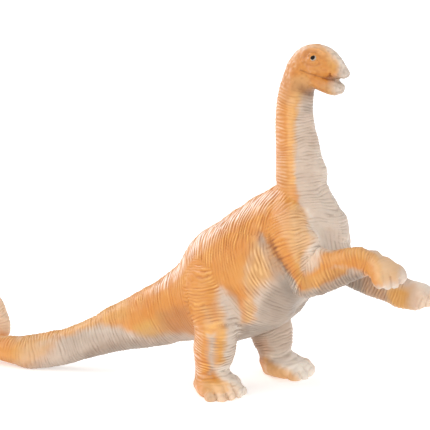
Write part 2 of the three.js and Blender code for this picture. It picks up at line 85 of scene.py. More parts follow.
# And their corners, from the stance's middle
SPINE = (
    (-210.4, -10.5, 20), (-211.1, -10.5, 30), (-216, -11.5, 42), (-226, -13.6, 51), (-235.6, -17.5, 50),
    (-242.6, -22.4, 39.5), (-238.4, -27, 26.3), (-223, -30, 15), (-200, -31, 11.5), (-172.6, -31, 12.3),
    (-148.6, -23.9, 17.5), (-112.6, -12.1, 30.9), (-79, -3.7, 44), (-52.6, 0, 55.7), (-31, 0, 65.4),
    (-16, 0, 75.5), (-0.7, 0, 86.1), (16, 0, 99.3), (31, 0, 116), (38.5, 0, 134), (38.2, 0, 150),
    (36.6, 0, 165.7), (35, 0, 180), (33, 0, 193), (32.4, 0, 206), (35.6, 0, 224), (41, 0, 236.4),
)
LIMBS = {
    "right_hind_leg": (
        (-22.3, -15, 94), (-21, -23.8, 80.6), (-17.5, -30.4, 64.3), (-14.4, -33.5, 51.8),
        (-15.7, -33.1, 40.3), (-17.5, -32.2, 30.7), (-19.2, -30.4, 19.2), (-18.8, -30.4, 9.6),
    ),
    "left_hind_leg": (
        (-12.9, 15, 94), (-11.1, 23.8, 80.6), (-7.2, 30.4, 64.3), (-4.1, 33.5, 51.8), (-1, 33.5, 40.3),
        (1.6, 33.5, 30.7), (3.8, 33.5, 19.2), (4.7, 33.5, 9.6),
    ),
    "right_foreleg": (
        (34.3, -20.7, 131), (41.4, -29.2, 116.8), (48.9, -33.1, 101.9), (57, -34, 94), (70, -34, 99.5),
        (86, -34, 106.5), (100, -34, 110), (109, -36, 108), (117, -40.4, 102), (124, -44, 95),
    ),
    "left_foreleg": (
        (34.3, 20.7, 131), (41.4, 29.2, 116.8), (49.5, 32, 101.9), (58, 32.7, 91), (74, 32.7, 83.5),
        (90, 32.7, 77.5), (106.5, 32.7, 73), (122.4, 32.7, 70.8), (134, 32.7, 68),
    ),
}


def unit(vectors):
    vectors = np.asarray(vectors, float)
    return vectors / np.maximum(np.linalg.norm(vectors, axis=-1, keepdims=True), 1e-12)


def smoothstep(low, high, x):
    t = np.clip((x - low) / (high - low), 0, 1)
    return t * t * (3 - 2 * t)


# Camera axes. Back points from the figure to the camera.
turn, rise = math.radians(AZIMUTH), math.radians(ELEVATION)
BACK = np.array((math.sin(turn) * math.cos(rise), -math.cos(turn) * math.cos(rise), math.sin(rise)))
RIGHT = np.array((math.cos(turn), math.sin(turn), 0.0))
UP = np.cross(BACK, RIGHT)
EYE_POINT = AIM + DISTANCE * BACK


def line_of_sight(pixel):
    """The direction in which the camera sees a pixel of the photograph."""
    x = (pixel[0] - IMAGE_PIXELS / 2) / FOCAL_PIXELS
    y = (IMAGE_PIXELS / 2 - pixel[1]) / FOCAL_PIXELS
    return unit(-BACK + x * RIGHT + y * UP)


def pixels_of(points):
    """The pixels of the photograph at which the camera sees the points."""
    away = points - EYE_POINT
    scale = FOCAL_PIXELS / (away @ -BACK)
    return IMAGE_PIXELS / 2 + scale * (away @ RIGHT), IMAGE_PIXELS / 2 - scale * (away @ UP)


# Noise


def hashed(cells, seed):
    """A number from 0 to 1 for each whole-numbered cell, the same on each run."""
    x, y, z = (cells[..., k].astype(np.int64) for k in range(3))
    h = (x * 374761393 + y * 668265263 + z * 1440670441 + seed * 1274126177) & 0xFFFFFFFF
    h = ((h ^ (h >> 13)) * 1274126177) & 0xFFFFFFFF
    return ((h ^ (h >> 16)) & 0xFFFFFF) / float(0xFFFFFF)


def noise(places, seed):
    """Smooth noise from -1 to 1, with a cell of 1."""
    floor = np.floor(places)
    t = places - floor
    t = t * t * (3 - 2 * t)
    total = np.zeros(len(places))
    for corner in range(8):
        step = np.array((corner & 1, corner >> 1 & 1, corner >> 2 & 1))
        weight = np.prod(np.where(step, t, 1 - t), axis=1)
        total += weight * hashed(floor + step, seed)
    return 2 * total - 1


# Meshes


def rows_of(items, name, width, kind=np.int32):
    """One property of all vertices, edges, corners or faces, in rows of this width."""
    values = np.empty(len(items) * width, kind)
    items.foreach_get(name, values)
    return values.reshape(-1, width)


def mesh_arrays(mesh):
    mesh.calc_loop_triangles()
    return rows_of(mesh.vertices, "co", 3, float) / MM, rows_of(mesh.loop_triangles, "vertices", 3)


def edges_of(mesh):
    return rows_of(mesh.edges, "vertices", 2)


def quads_of(mesh):
    return rows_of(mesh.loops, "vertex_index", 1).reshape(-1, 4)


def welded(points, triangles):
    """The mesh with one vertex where the frame's file holds several."""
    keys = np.round(points / WELD).astype(np.int64)
    _, first, where = np.unique(keys, axis=0, return_index=True, return_inverse=True)
    return points[first], where.reshape(-1)[triangles]


def gathered(places, values, count):
    """The sum of the rows of values that belong to each place."""
    return np.stack([np.bincount(places, column, count) for column in values.T], axis=1)


def vertex_normals(points, triangles):
    a, b, c = (points[triangles[:, k]] for k in range(3))
    face = np.cross(b - a, c - a)
    return unit(sum(gathered(triangles[:, k], face, len(points)) for k in range(3)))


def linked(name, data):
    """A new object of the scene, for a mesh, a light or a camera."""
    made = bpy.data.objects.new(name, data)
    bpy.context.scene.collection.objects.link(made)
    return made


def new_object(name, points, faces):
    mesh = bpy.data.meshes.new(name)
    mesh.from_pydata((points * MM).tolist(), [], faces)
    mesh.update()
    return linked(name, mesh)


def applied(made, kind, **settings):
    """The object's mesh after one modifier."""
    modifier = made.modifiers.new(kind.lower(), kind)
    for key, value in settings.items():
        setattr(modifier, key, value)
    graph = bpy.context.evaluated_depsgraph_get()
    mesh = bpy.data.meshes.new_from_object(made.evaluated_get(graph), depsgraph=graph)
    made.modifiers.remove(modifier)
    return mesh


def neighbour_mean(points, edges, degree):
    both = (gathered(edges[:, a], points[edges[:, 1 - a]], len(points)) for a in (0, 1))
    return sum(both) / degree[:, None]


def relaxed(points, edges, rounds, amount):
    """Smooths without shrinking, by steps in and steps out. Amount is how much each point takes part."""
    degree = np.bincount(edges.ravel(), minlength=len(points)).astype(float)
    for k in range(2 * rounds):
        share = STEP_OUT if k % 2 else STEP_IN
        points = points + share * amount[:, None] * (neighbour_mean(points, edges, degree) - points)
    return points


# The CAD solids, and one fattened copy of them all
cad = {name: welded(*mesh_arrays(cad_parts[name].data)) for name in NODES}
trees = {name: BVHTree.FromPolygons(p.tolist(), t.tolist()) for name, (p, t) in cad.items()}


def joined_skin():
    points, faces, count = [], [], 0
    for name in NODES:
        p, t = cad[name]
        points.append(p + CLOSING * vertex_normals(p, t))
        faces.append(t + count)
        count += len(p)
    lump = new_object("lump", np.vstack(points), np.vstack(faces).tolist())
    mesh = applied(lump, "REMESH", mode="VOXEL", voxel_size=VOXEL * MM)
    bpy.data.objects.remove(lump)
    return mesh


def distance_to(name, points, reach):
    """Distance from each point to a CAD solid's surface, and reach where it is further than that."""
    find = trees[name].find_nearest
    found = (find(point, reach)[3] for point in points.tolist())
    return np.array([reach if d is None else d for d in found])


def along_path(points, path, steps):
    """How far along a centre line each point lies, its place across it (sideways and upwards), and sideways
    itself, as a direction."""
    path = np.asarray(path) + STANCE
    lengths = np.concatenate(([0], np.cumsum(np.linalg.norm(np.diff(path, axis=0), axis=1))))
    marks = np.linspace(0, lengths[-1], steps)
    fine = np.stack([np.interp(marks, lengths, path[:, k]) for k in range(3)], axis=1)
    for _ in range(PATH_ROUNDS):
        fine[1:-1] = (fine[:-2] + 2 * fine[1:-1] + fine[2:]) / 4
    tangents = unit(np.gradient(fine, axis=0))
    nearest = np.empty(len(points), np.int32)
    for start in range(0, len(points), BLOCK):
        part = slice(start, start + BLOCK)
        gaps = ((points[part, None, :] - fine[None, :, :]) ** 2).sum(axis=2)
        nearest[part] = gaps.argmin(axis=1)
    offset = points - fine[nearest]
    tangent = tangents[nearest]
    ahead = (offset * tangent).sum(axis=1)
    middle = (nearest > 0) & (nearest < steps - 1)
    radial = np.sign(ahead) * np.linalg.norm(offset, axis=1)
    along = marks[nearest] + np.where(middle, ahead, radial)
    side = unit(SIDEWAYS - tangent * tangent[:, 1:2])
    above = np.cross(tangent, side)
    return along, (offset * side).sum(axis=1), (offset * above).sum(axis=1), side


# Regions of the skin, as groups of one
TORSO, NECK, TAIL, HEAD = ("torso",), ("neck",), ("tail",), ("head",)
NEAR_LEG, FAR_LEG = ("right_hind_leg",), ("left_hind_leg",)
NEAR_ARM, FAR_ARM = ("right_foreleg",), ("left_foreleg",)
SPINE_REGIONS = TORSO + NECK + TAIL + HEAD
HIND_LEGS = NEAR_LEG + FAR_LEG

# Wrinkles


def folds(along, across, rise, pitch, length, seed):
    """Irregular ridges square to a centre line, from about -1 to 1: broad ridges between narrow grooves,
    which wander, fork and fade out."""
    places = np.stack([along, across, rise], axis=1)
    slow = places / (11, length, length)
    wander = 0.75 * noise(slow, seed) + 0.3 * noise(2.3 * slow, seed + 1)
    strength = 0.6 + 0.5 * noise(places / (5, 8, 8), seed + 2)
    wave = (1 - np.cos(2 * math.pi * (along / pitch + wander))) / 2
    ragged = noise(places / (0.5 * pitch, 6, 6), seed + 3)
    return strength * (1 - 2 * wave**1.6) * 0.75 + 0.5 * ragged


# Each set of folds: its pitch, the length of a fold, and its noise's seed, of which each limb has its own
SPINE_FOLDS = (2.25, 15, 10)
FLANK_FOLDS = (2.4, 18, 20)
CHEST_FOLDS = (2.3, 16, 30)
BREAST_FOLDS = (2.4, 20, 33)
LIMB_FOLDS = (2.2, 13)
LIMB_SEEDS = (40, 50, 60, 70)
DRAPES_SEED, HEAD_SEED = 36, 90

FLANK_CENTRE = np.array((65.0, 0.0, 121.0))  # from the stance's middle
FLANK_RADIUS = 60.0
BREAST_RADIUS, BREAST_AHEAD = 32.0, 12.0  # the lower chest is folded round an upright line
FOLD_HEIGHT, LIMB_FOLD_HEIGHT, HEAD_FOLD_HEIGHT = 0.36, 0.42, 0.09


def flank_folds(points):
    """Folds that are arcs round the flank's centre."""
    away = points - STANCE - FLANK_CENTRE
    arc = FLANK_RADIUS * np.arctan2(away[:, 2], away[:, 0])
    return folds(-np.hypot(away[:, 0], away[:, 2]), arc, away[:, 1], *FLANK_FOLDS)


def chest_folds(points):
    """Folds across the chest, and lengthways ones over its lower part, the breast."""
    x, y, z = points.T
    chest = folds(z, x, y, *CHEST_FOLDS)
    turned = np.arctan2(y - STANCE[1], x - STANCE[0] - BREAST_AHEAD)
    breast = smoothstep(92, 98, z) * (1 - smoothstep(124, 134, z))
    return chest + breast * (folds(BREAST_RADIUS * turned, z, x, *BREAST_FOLDS) - chest)


def wrinkles(points, normals, near, lines):
    """The height of the wrinkles at each point, and how far it is a ridge (1) or a groove (-1). Near holds
    the share of each region there, and lines the places along and across the centre lines."""
    pull = {name: (near[name] * (2.2 if name in HIND_LEGS else 1)) ** 4 for name in near}
    whole = sum(pull.values()) + 1e-12
    pull = {name: value / whole for name, value in pull.items()}
    spine = folds(*lines["spine"], *SPINE_FOLDS)
    flank, chest = flank_folds(points), chest_folds(points)
    drapes = noise(points / (4, 4, 30), DRAPES_SEED)
    ahead = smoothstep(36, 50, points[:, 0] - STANCE[0])
    back = smoothstep(0.2, 0.75, normals[:, 2] - 0.4 * normals[:, 0])
    height = pull["tail"] * (FOLD_HEIGHT + 0.12 * back) * spine
    height += pull["neck"] * (FOLD_HEIGHT * spine + 0.1 * ahead * drapes)
    height += pull["torso"] * (1 - ahead) * (FOLD_HEIGHT + 0.42 * back) * flank
    height += pull["torso"] * ahead * (0.15 * chest + 0.22 * drapes)
    # The fold value also sets painted highlights on ridges and painted shade in grooves, stronger on the back
    # where it faces the back light
    fold = pull["tail"] * (0.6 + 0.5 * back) * spine + pull["neck"] * (0.75 - 0.2 * ahead) * spine
    fold += pull["torso"] * ((1 - ahead) * (0.52 + 0.9 * back) * flank + ahead * 0.6 * chest)
    for name, seed in zip(LIMBS, LIMB_SEEDS):
        along, across, rise = lines[name]
        if name in HIND_LEGS:
            along = along + 0.012 * rise**2 * (1 - smoothstep(12, 45, along))
            calm = 0.3 + 0.7 * smoothstep(12, 20, points[:, 2])
            strength = 0.7 + 0.4 * (1 - smoothstep(45, 70, points[:, 2])) * (name == "right_hind_leg")
        else:
            calm = 1 - smoothstep(96, 110, along)
            strength = 0.75
        ringed = folds(along, across, rise, *LIMB_FOLDS, seed)
        height += pull[name] * (LIMB_FOLD_HEIGHT * calm + 0.04) * ringed
        fold += pull[name] * strength * (calm + 0.08) * ringed
    height += pull["head"] * HEAD_FOLD_HEIGHT * noise(points / 1.4, HEAD_SEED)
    fold += pull["head"] * 0.55 * noise(points / 1.6, HEAD_SEED + 1)
    armpit = np.clip(4 * near["torso"] * near["right_foreleg"], 0, 1)
    armpit *= 1 - smoothstep(92, 108, points[:, 2])
    return height * (1 - 0.7 * armpit), fold * (1 - 0.8 * armpit)


# Paint. Shapes are drawn over the photograph's pixels, and the skin takes them along the camera's lines of
# sight. Torso, neck, tail and head are painted alike on both sides. Grey and umber are painted shade, and
# pale is partly painted light.
HIGHLIGHT_FACING = (-0.62, 0.0, 0.78)  # the direction in which the part of the back with the painted highlight faces, towards the back light
STREAK = 1.1  # how many pixels the ridges draw a shape's edge in
EDGE_SEED, OUTER_SEED = 61, 65

# Each shape: its regions, the mask's value in it, its softness, and its corners
ORANGE_SHAPES = (
    (TAIL + TORSO, 1, 10,
        "262,170 296,184 300,202 302,214 294,226 286,238 276,230 267,228 260,238 256,249 251,257 248,265 "
        "247,274 247,282 249,291 251,299 251,308 250,318 246,322 243,317 240,309 236,300 229,293 222,288 "
        "213,300 212,322 202,336 180,332 165,335 150,337 138,333 129,330 119,328 105,326 95,327 85,330 "
        "70,335 50,339 39,343 33,354 25,366 10,374 -70,374 -70,250 120,240 230,170"),
    (NECK, 1, 7, "250,70 304,70 300,90 298,105 296.5,125 295,145 294,165 295,185 300,204 262,210 250,190"),
    (NECK + TORSO + NEAR_ARM, 1, 6,
        "262,182 292,180 295,192 298,204 296,222 294,234 288,238 280,230 268,226"),
    (NECK + TORSO, 0.85, 8, "280,205 296,204 305,220 309,240 305,262 296,262 286,240 278,222"),
    (TORSO, 0.8, 16,
        "254,236 263,242 271,250 280,263 279,276 268,281 259,289 250,298 246,291 243,281 246,268 250,254"),
    (TORSO, 0.75, 10, "243,298 251,299 256,308 255,318 249,324 241,324"),
    (TAIL, 0.95, 8, "8,333 42,331 38,343 14,346"),
    (TAIL, 0.5, 10, "-20,286 20,286 20,337 8,334 -20,334"),
    (TAIL, 0.6, 16, "24,346 58,338 46,356 28,368 10,370"),
    (TORSO + NEAR_ARM, 0.8, 8, "264,244 276,252 288,272 282,276 270,266"),
    (NECK + HEAD, 0.85, 8, "284,76 306,78 311,87 304,96 297,106 284,104"),
    (NEAR_LEG, 1, 9,
        "176,236 226,240 227,262 221,276 219,290 220,300 224,314 227,330 225,345 224,362 214,369 222,379 "
        "232,385 234,391 222,391 214,393 207,404 185,404 180,300"),
    (NEAR_LEG, 1, 7, "222,262 244,262 248,300 247,318 243,314 240,304 232,293 223,281"),
    (NEAR_LEG, 0.15, 8, "208,334 214,334 216,368 210,374"),
    (NEAR_LEG, 0.8, 9, "202,308 210,306 214,322 206,326"),
    (NEAR_LEG, 0.85, 5, "202,382 228,384 230,394 212,394 206,404 200,400"),
    (NEAR_LEG, 0.5, 5, "208,393 230,393 230,404 206,404"),
    (NEAR_LEG, 0.4, 6, "227,386 238,386 238,404 228,404"),
    (NEAR_ARM, 0.9, 8,
        "276,196 297,204 306,220 309,240 304,258 300,272 318,268 330,272 318,294 300,298 290,270 276,236"),
    (NEAR_ARM + TORSO + NECK, 0.75, 9, "294,206 302,207 309,220 311,242 304,258 299,254 295,240 291,222"),
    (NEAR_ARM + TORSO, 1, 6,
        "258,214 276,216 284,238 291,254 299,268 306,280 307,288 301,291 294,281 286,270 277,261 270,250 "
        "265,239 260,229"),
    (NEAR_ARM, 1, 7,
        "318,262 324,256 335,250 350,244 366,244 374,252 376,266 383,286 371,286 363,272 350,268 334,267 "
        "322,276 313,286 306,282"),
    (NEAR_ARM, 0.95, 6, "312,276 324,268 348,267 346,274 326,284 314,292"),
    (NEAR_ARM + TORSO, 0.35, 8, "300,264 308,254 318,254 322,262 306,274"),
    (NEAR_ARM, 0.25, 6,
        "294,295 301,291 310,289 322,286 334,283 345,278 358,273 368,280 368,292 330,298 300,302"),
    (NEAR_ARM, 0.65, 10, "368,248 388,253 402,264 398,282 380,286 374,270"),
    (NEAR_ARM, 0.9, 6, "364,252 376,254 381,266 382,284 372,280"),
    (FAR_ARM, 0.35, 8, "336,272 366,274 380,284 378,302 340,296"),
    (FAR_ARM, 0.75, 8, "362,274 380,282 386,304 366,298"),
    (FAR_ARM, 0.95, 12, "378,290 396,285 412,289 418,302 412,314 376,302"),
    (FAR_LEG, 0.9, 9, "252,352 264,354 274,364 296,374 300,388 252,386"),
    (FAR_LEG, 0.3, 9, "252,338 268,340 272,356 258,356"),
    (HEAD, 0.5, 8, "318,40 327,50 333,58 337,66 337,73 330,77 336,84 360,84 360,40"),
    (HEAD, 0, 7, "322,40 332,51 338,59 341,67 339,76 336,84 360,84 360,40"),
    (HEAD, 0.4, 6, "328,80 350,80 348,98 336,98 330,90"),
    (HEAD, 0.08, 5, "334,81 350,80 348,98 341,98 335,90"),
    (HEAD, 0.6, 3, "301,46 308,44 308,50 302,52"),
    (HEAD, 0.75, 4, "308,43 322,43 322,48 308,48.5"),
    (FAR_ARM, 0.3, 12, "409,284 436,296 436,314 409,314"),
)
TAN_SHAPES = (
    (NECK, 0.6, 6, "290,96 302,92 299,120 297,150 297,186 290,186 289,140"),
    (NECK + TORSO, 0.65, 8, "292,200 298,204 306,220 310,240 306,262 298,262 292,240 288,222"),
    (TORSO, 0.7, 18,
        "252,240 262,242 272,250 281,263 280,277 269,283 260,291 250,300 247,291 246,278 249,264 252,252"),
    (TORSO, 0.9, 9, "246,300 250,301 254,308 254,318 249,324 245,322"),
    (TAIL, 0.95, 9, "134,326 150,318 165,310 198,308 200,338 160,342 140,341"),
    (TAIL, 0.15, 8, "8,333 42,331 38,343 14,346"),
    (TAIL, 0.7, 14, "16,336 62,330 52,346 40,360 20,368 8,368"),
    (TAIL, 0.6, 10, "58,322 128,296 130,318 104,324 60,336"),
    (NECK + HEAD, 0.9, 7, "296,80 306,80 312,86 304,96 298,102 294,92"),
    (HEAD, 0.5, 8, "290,78 305,74 316,88 306,96 290,92"),
    (NEAR_LEG, 0.5, 10, "205,254 226,250 224,275 218,300 208,296"),
    (NEAR_LEG, 0.7, 10, "217,300 222,308 229,322 228,365 218,370 217,340"),
    (NEAR_LEG, 0.6, 9, "204,378 240,380 240,404 204,404"),
    (NEAR_LEG, 0.45, 9, "202,306 212,306 216,334 204,336"),
    (NEAR_ARM, 0.6, 8,
        "296,200 302,204 311,220 313,240 306,258 302,276 318,276 322,290 304,294 298,276 288,240"),
    (NEAR_ARM, 0.5, 6, "312,276 324,270 348,268 346,274 326,284 314,292"),
    (NEAR_ARM, 0.75, 8, "374,248 388,253 402,264 398,280 380,284 375,268"),
    (NEAR_ARM, 0.5, 6, "340,244 380,250 374,262 345,254"),
    (FAR_ARM, 0.7, 7, "384,286 400,282 414,290 412,314 388,308"),
    (FAR_LEG, 0.7, 8, "262,354 276,364 298,374 300,388 266,382"),
    (HEAD, 0.5, 7, "326,56 334,58 340,66 339,73 330,72 327,64"),
    (HEAD, 0.6, 6, "322,86 336,84 338,96 328,96"),
)
# Painted shade, grey-brown, under the belly, the tail, the arms and the jaw; on the belly partly its own grey
# paint
GREY_SHADE_SHAPES = (
    (TAIL + TORSO, 0.1, 12, "156,312 192,304 194,330 164,334"),
    (TAIL + TORSO, 0.2, 9, "134,330 165,324 198,326 200,342 160,344 140,344"),
    (TORSO, 0.95, 16, "286,267 292,274 303,296 312,292 306,314 290,324 262,322 264,306 272,293 281,284"),
    (TORSO, 0.6, 10, "264,300 274,290 290,300 290,330 246,330 258,322"),
    (TORSO, 1, 7, "236,324 262,324 292,326 292,345 232,345"),
    (TORSO, 0.45, 9, "259,234 267,240 272,252 268,258 262,252 258,242"),
    (TAIL + TORSO, 0.85, 10, "76,352 104,342 128,339 150,344 200,340 204,352 130,362 60,376 40,372"),
    (TAIL, 0.35, 12, "60,340 100,322 126,328 130,345 60,362"),
    (NECK + HEAD, 0.7, 8, "300,96 308,90 318,90 316,114 302,112"),
    (HEAD, 0.25, 8, "318,82 340,84 340,97 326,94"),
    (NEAR_LEG, 0.12, 6, "226,366 240,380 246,394 236,398 232,384"),
    (NEAR_LEG, 0.3, 8, "208,334 215,334 217,368 209,373"),
    (NEAR_LEG, 0.35, 8, "226,288 240,300 243,345 232,370 228,345 226,310"),
    (NEAR_ARM, 0.9, 5, "272,254 280,262 287,272 293,282 300,296 292,300 278,284 266,266"),
    (NEAR_ARM, 0.9, 6, "300,294 312,291 324,288 336,282 348,275 362,274 368,280 368,292 330,298 300,302"),
    (FAR_ARM, 1, 8, "330,260 366,270 386,284 388,304 330,300"),
    (FAR_ARM, 0.55, 8, "362,272 382,282 388,304 364,300"),
    (FAR_LEG, 0.08, 10, "250,330 278,326 282,336 296,340 296,346 266,354 255,352"),
    (HEAD, 0.3, 5, "342,66 352,70 350,80 332,80 340,74"),
    (HEAD, 0.45, 5, "332,80 350,80 348,98 338,97"),
)
# Painted shade, umber: in creases, under the jaw and the arms, and along the tail's underside
UMBER_SHADE_SHAPES = (
    (NECK, 0.1, 6, "278,146 286,146 287,190 278,190"),
    (TAIL + TORSO, 0.32, 12, "156,312 192,304 194,330 164,334"),
    (TAIL, 0.15, 6, "10,334 42,332 40,342 12,344"),
    (TAIL, 0.25, 7, "-10,355 20,362 44,362 40,372 -10,370"),
    (TORSO + NEAR_LEG, 0.3, 6, "224,284 232,286 242,300 240,306 230,298"),
    (TORSO, 0.3, 5, "238,326 249,327 248,334 240,336"),
    (TORSO, 0.26, 14, "272,268 286,270 300,296 300,320 272,322 264,304"),
    (TORSO, 0.4, 5, "259,230 266,233 270,243 272,252 265,248 260,240"),
    (TORSO + NEAR_ARM, 0.12, 8, "264,246 276,254 290,276 284,280 270,264"),
    (TAIL, 0.22, 8, "118,340 150,334 196,334 198,346 120,354"),
    (TAIL, 0.35, 8, "84,352 110,340 126,344 120,356 84,364"),
    (NECK + HEAD, 0.4, 8, "288,81 297,77 309,82 320,88 312,97 300,95 291,90"),
    (NECK + HEAD, 0.95, 6, "294,79 308,81 320,88 316,96 302,92"),
    (HEAD, 0.14, 12, "290,50 312,44 326,54 334,68 332,80 322,92 290,84"),
    (NECK + HEAD, 0.12, 6, "280,72 291,72 290,104 276,104"),
    (HEAD, 0.06, 4, "302,62 304,53 310,50 318,50 318,55 309,56 307,63"),
    (HEAD, 0.2, 4, "307,63 318,62 322,60 323,65 314,67"),
    (NEAR_ARM + TORSO, 0.8, 6,
        "269,234 274,243 280,256 287,267 293,277 297,288 292,284 284,272 275,258 269,246"),
    (NEAR_ARM, 0.45, 8, "318,284 334,272 350,269 364,272 370,282 366,294 318,298"),
    (FAR_ARM, 0.5, 8, "336,272 364,274 376,284 376,302 340,296"),
    (NEAR_ARM, 0.22, 8, "294,270 304,274 314,280 312,298 296,298 290,280"),
    (FAR_ARM, 0.2, 7, "364,274 380,282 386,306 368,302"),
    (FAR_LEG, 0.5, 8, "248,328 262,330 264,350 263,362 254,362 250,350"),
    (FAR_LEG, 0.3, 5, "260,370 280,379 304,381 304,388 260,386"),
    (HEAD, 0.14, 6, "340,69 351,71 350,80 336,79"),
    (HEAD, 0.12, 5, "334,82 350,80 348,98 336,97"),
    (HEAD, 0.7, 3, "324,76.8 331.5,76.4 332,80.4 325,80.6"),
)
# Pale: cream paint, and painted light that brightens skin lying in shade, such as the far foot, the toes and
# the armpit's front
PALE_AND_PAINTED_LIGHT_SHAPES = (
    (NECK, 0.45, 5, "286,100 295,100 294,150 295,200 288,200 287,150"),
    (TAIL, 0.2, 8, "80,326 100,320 130,316 132,330 90,336"),
    (TAIL, 0.1, 12, "-20,340 50,338 44,358 24,368 -20,368"),
    (NEAR_LEG, 0.8, 8, "214,366 232,364 250,384 250,404 228,404 219,384"),
    (NEAR_LEG, 0.3, 8, "204,319 222,316 224,338 206,338"),
    (NEAR_LEG, 0.75, 8, "212,382 228,384 230,404 214,404"),
    (NEAR_LEG, 0.2, 8, "228,310 236,312 240,330 234,366 226,366 226,320"),
    (FAR_LEG, 0.4, 8, "262,360 280,366 300,378 296,388 262,384"),
    (FAR_LEG, 1, 10, "268,356 292,350 325,360 320,388 292,386 278,368"),
    (NEAR_ARM + TORSO + NECK, 0.4, 8, "284,210 294,208 299,222 301,246 297,262 288,250 282,232 278,216"),
    (NEAR_ARM + TORSO + NECK, 0.5, 7, "298,206 308,208 316,224 318,244 308,262 301,240"),
    (NEAR_ARM + TORSO, 0.75, 9, "311,232 326,230 330,250 320,259 310,268 305,264 307,250"),
    (NEAR_ARM, 0.25, 8, "318,262 326,256 350,245 366,246 374,257 350,257 330,265"),
    (HEAD, 0.55, 9, "302,40 330,44 342,56 352,70 346,77 337,66 324,56 304,49"),
    (HEAD, 0.5, 6, "332,82 350,80 348,98 338,97"),
    (TAIL, 0.9, 9, "-20,286 20,286 20,337 -20,337"),
    (TORSO + NECK, 0.25, 16, "322,150 340,190 360,230 350,250 312,258 312,230 316,190 314,150"),
    (FAR_ARM, 0.5, 12, "412,276 436,280 436,312 418,312"),
    (NEAR_ARM, 0.4, 8, "344,242 378,244 396,254 410,270 398,268 372,254 348,252"),
    (NEAR_ARM, 0.5, 7, "372,258 390,258 404,268 402,280 377,280"),
    (NEAR_ARM, 0.25, 8, "380,278 404,266 410,290 380,292"),
)
SHAPES = {
    "orange": ORANGE_SHAPES,
    "tan": TAN_SHAPES,
    "grey_shade": GREY_SHADE_SHAPES,
    "umber_shade": UMBER_SHADE_SHAPES,
    "pale": PALE_AND_PAINTED_LIGHT_SHAPES,
}


def corners_of(text):
    """The corners of a shape or line, which is written as x,y pairs."""
    return np.array([pair.split(",") for pair in text.split()], float)


def close_to(corners, margin, u, v, share):
    """Which places have a share, and lie within a margin of the box around these corners."""
    left, top = corners.min(axis=0) - margin
    right, bottom = corners.max(axis=0) + margin
    return (share > 0.01) & (u > left) & (u < right) & (v > top) & (v < bottom)


def gap_to_side(u, v, start, end):
    """How many pixels away from a straight line between two corners each place lies."""
    (x0, y0), (x1, y1) = start, end
    run_x, run_y = x1 - x0, y1 - y0
    t = np.clip(((u - x0) * run_x + (v - y0) * run_y) / (run_x**2 + run_y**2), 0, 1)
    return np.hypot(u - x0 - t * run_x, v - y0 - t * run_y)


def depth_in_shape(u, v, corners):
    """How many pixels inside a shape each place lies, negative outside of it."""
    sides = list(zip(corners, np.roll(corners, -1, axis=0)))
    inside = np.zeros(len(u), bool)
    for (x0, y0), (x1, y1) in sides:
        if y0 != y1:
            crosses = (v < y0) != (v < y1)
            inside ^= crosses & (u < x0 + (v - y0) * (x1 - x0) / (y1 - y0))
    gap = np.minimum.reduce([gap_to_side(u, v, *side) for side in sides])
    return np.where(inside, gap, -gap)
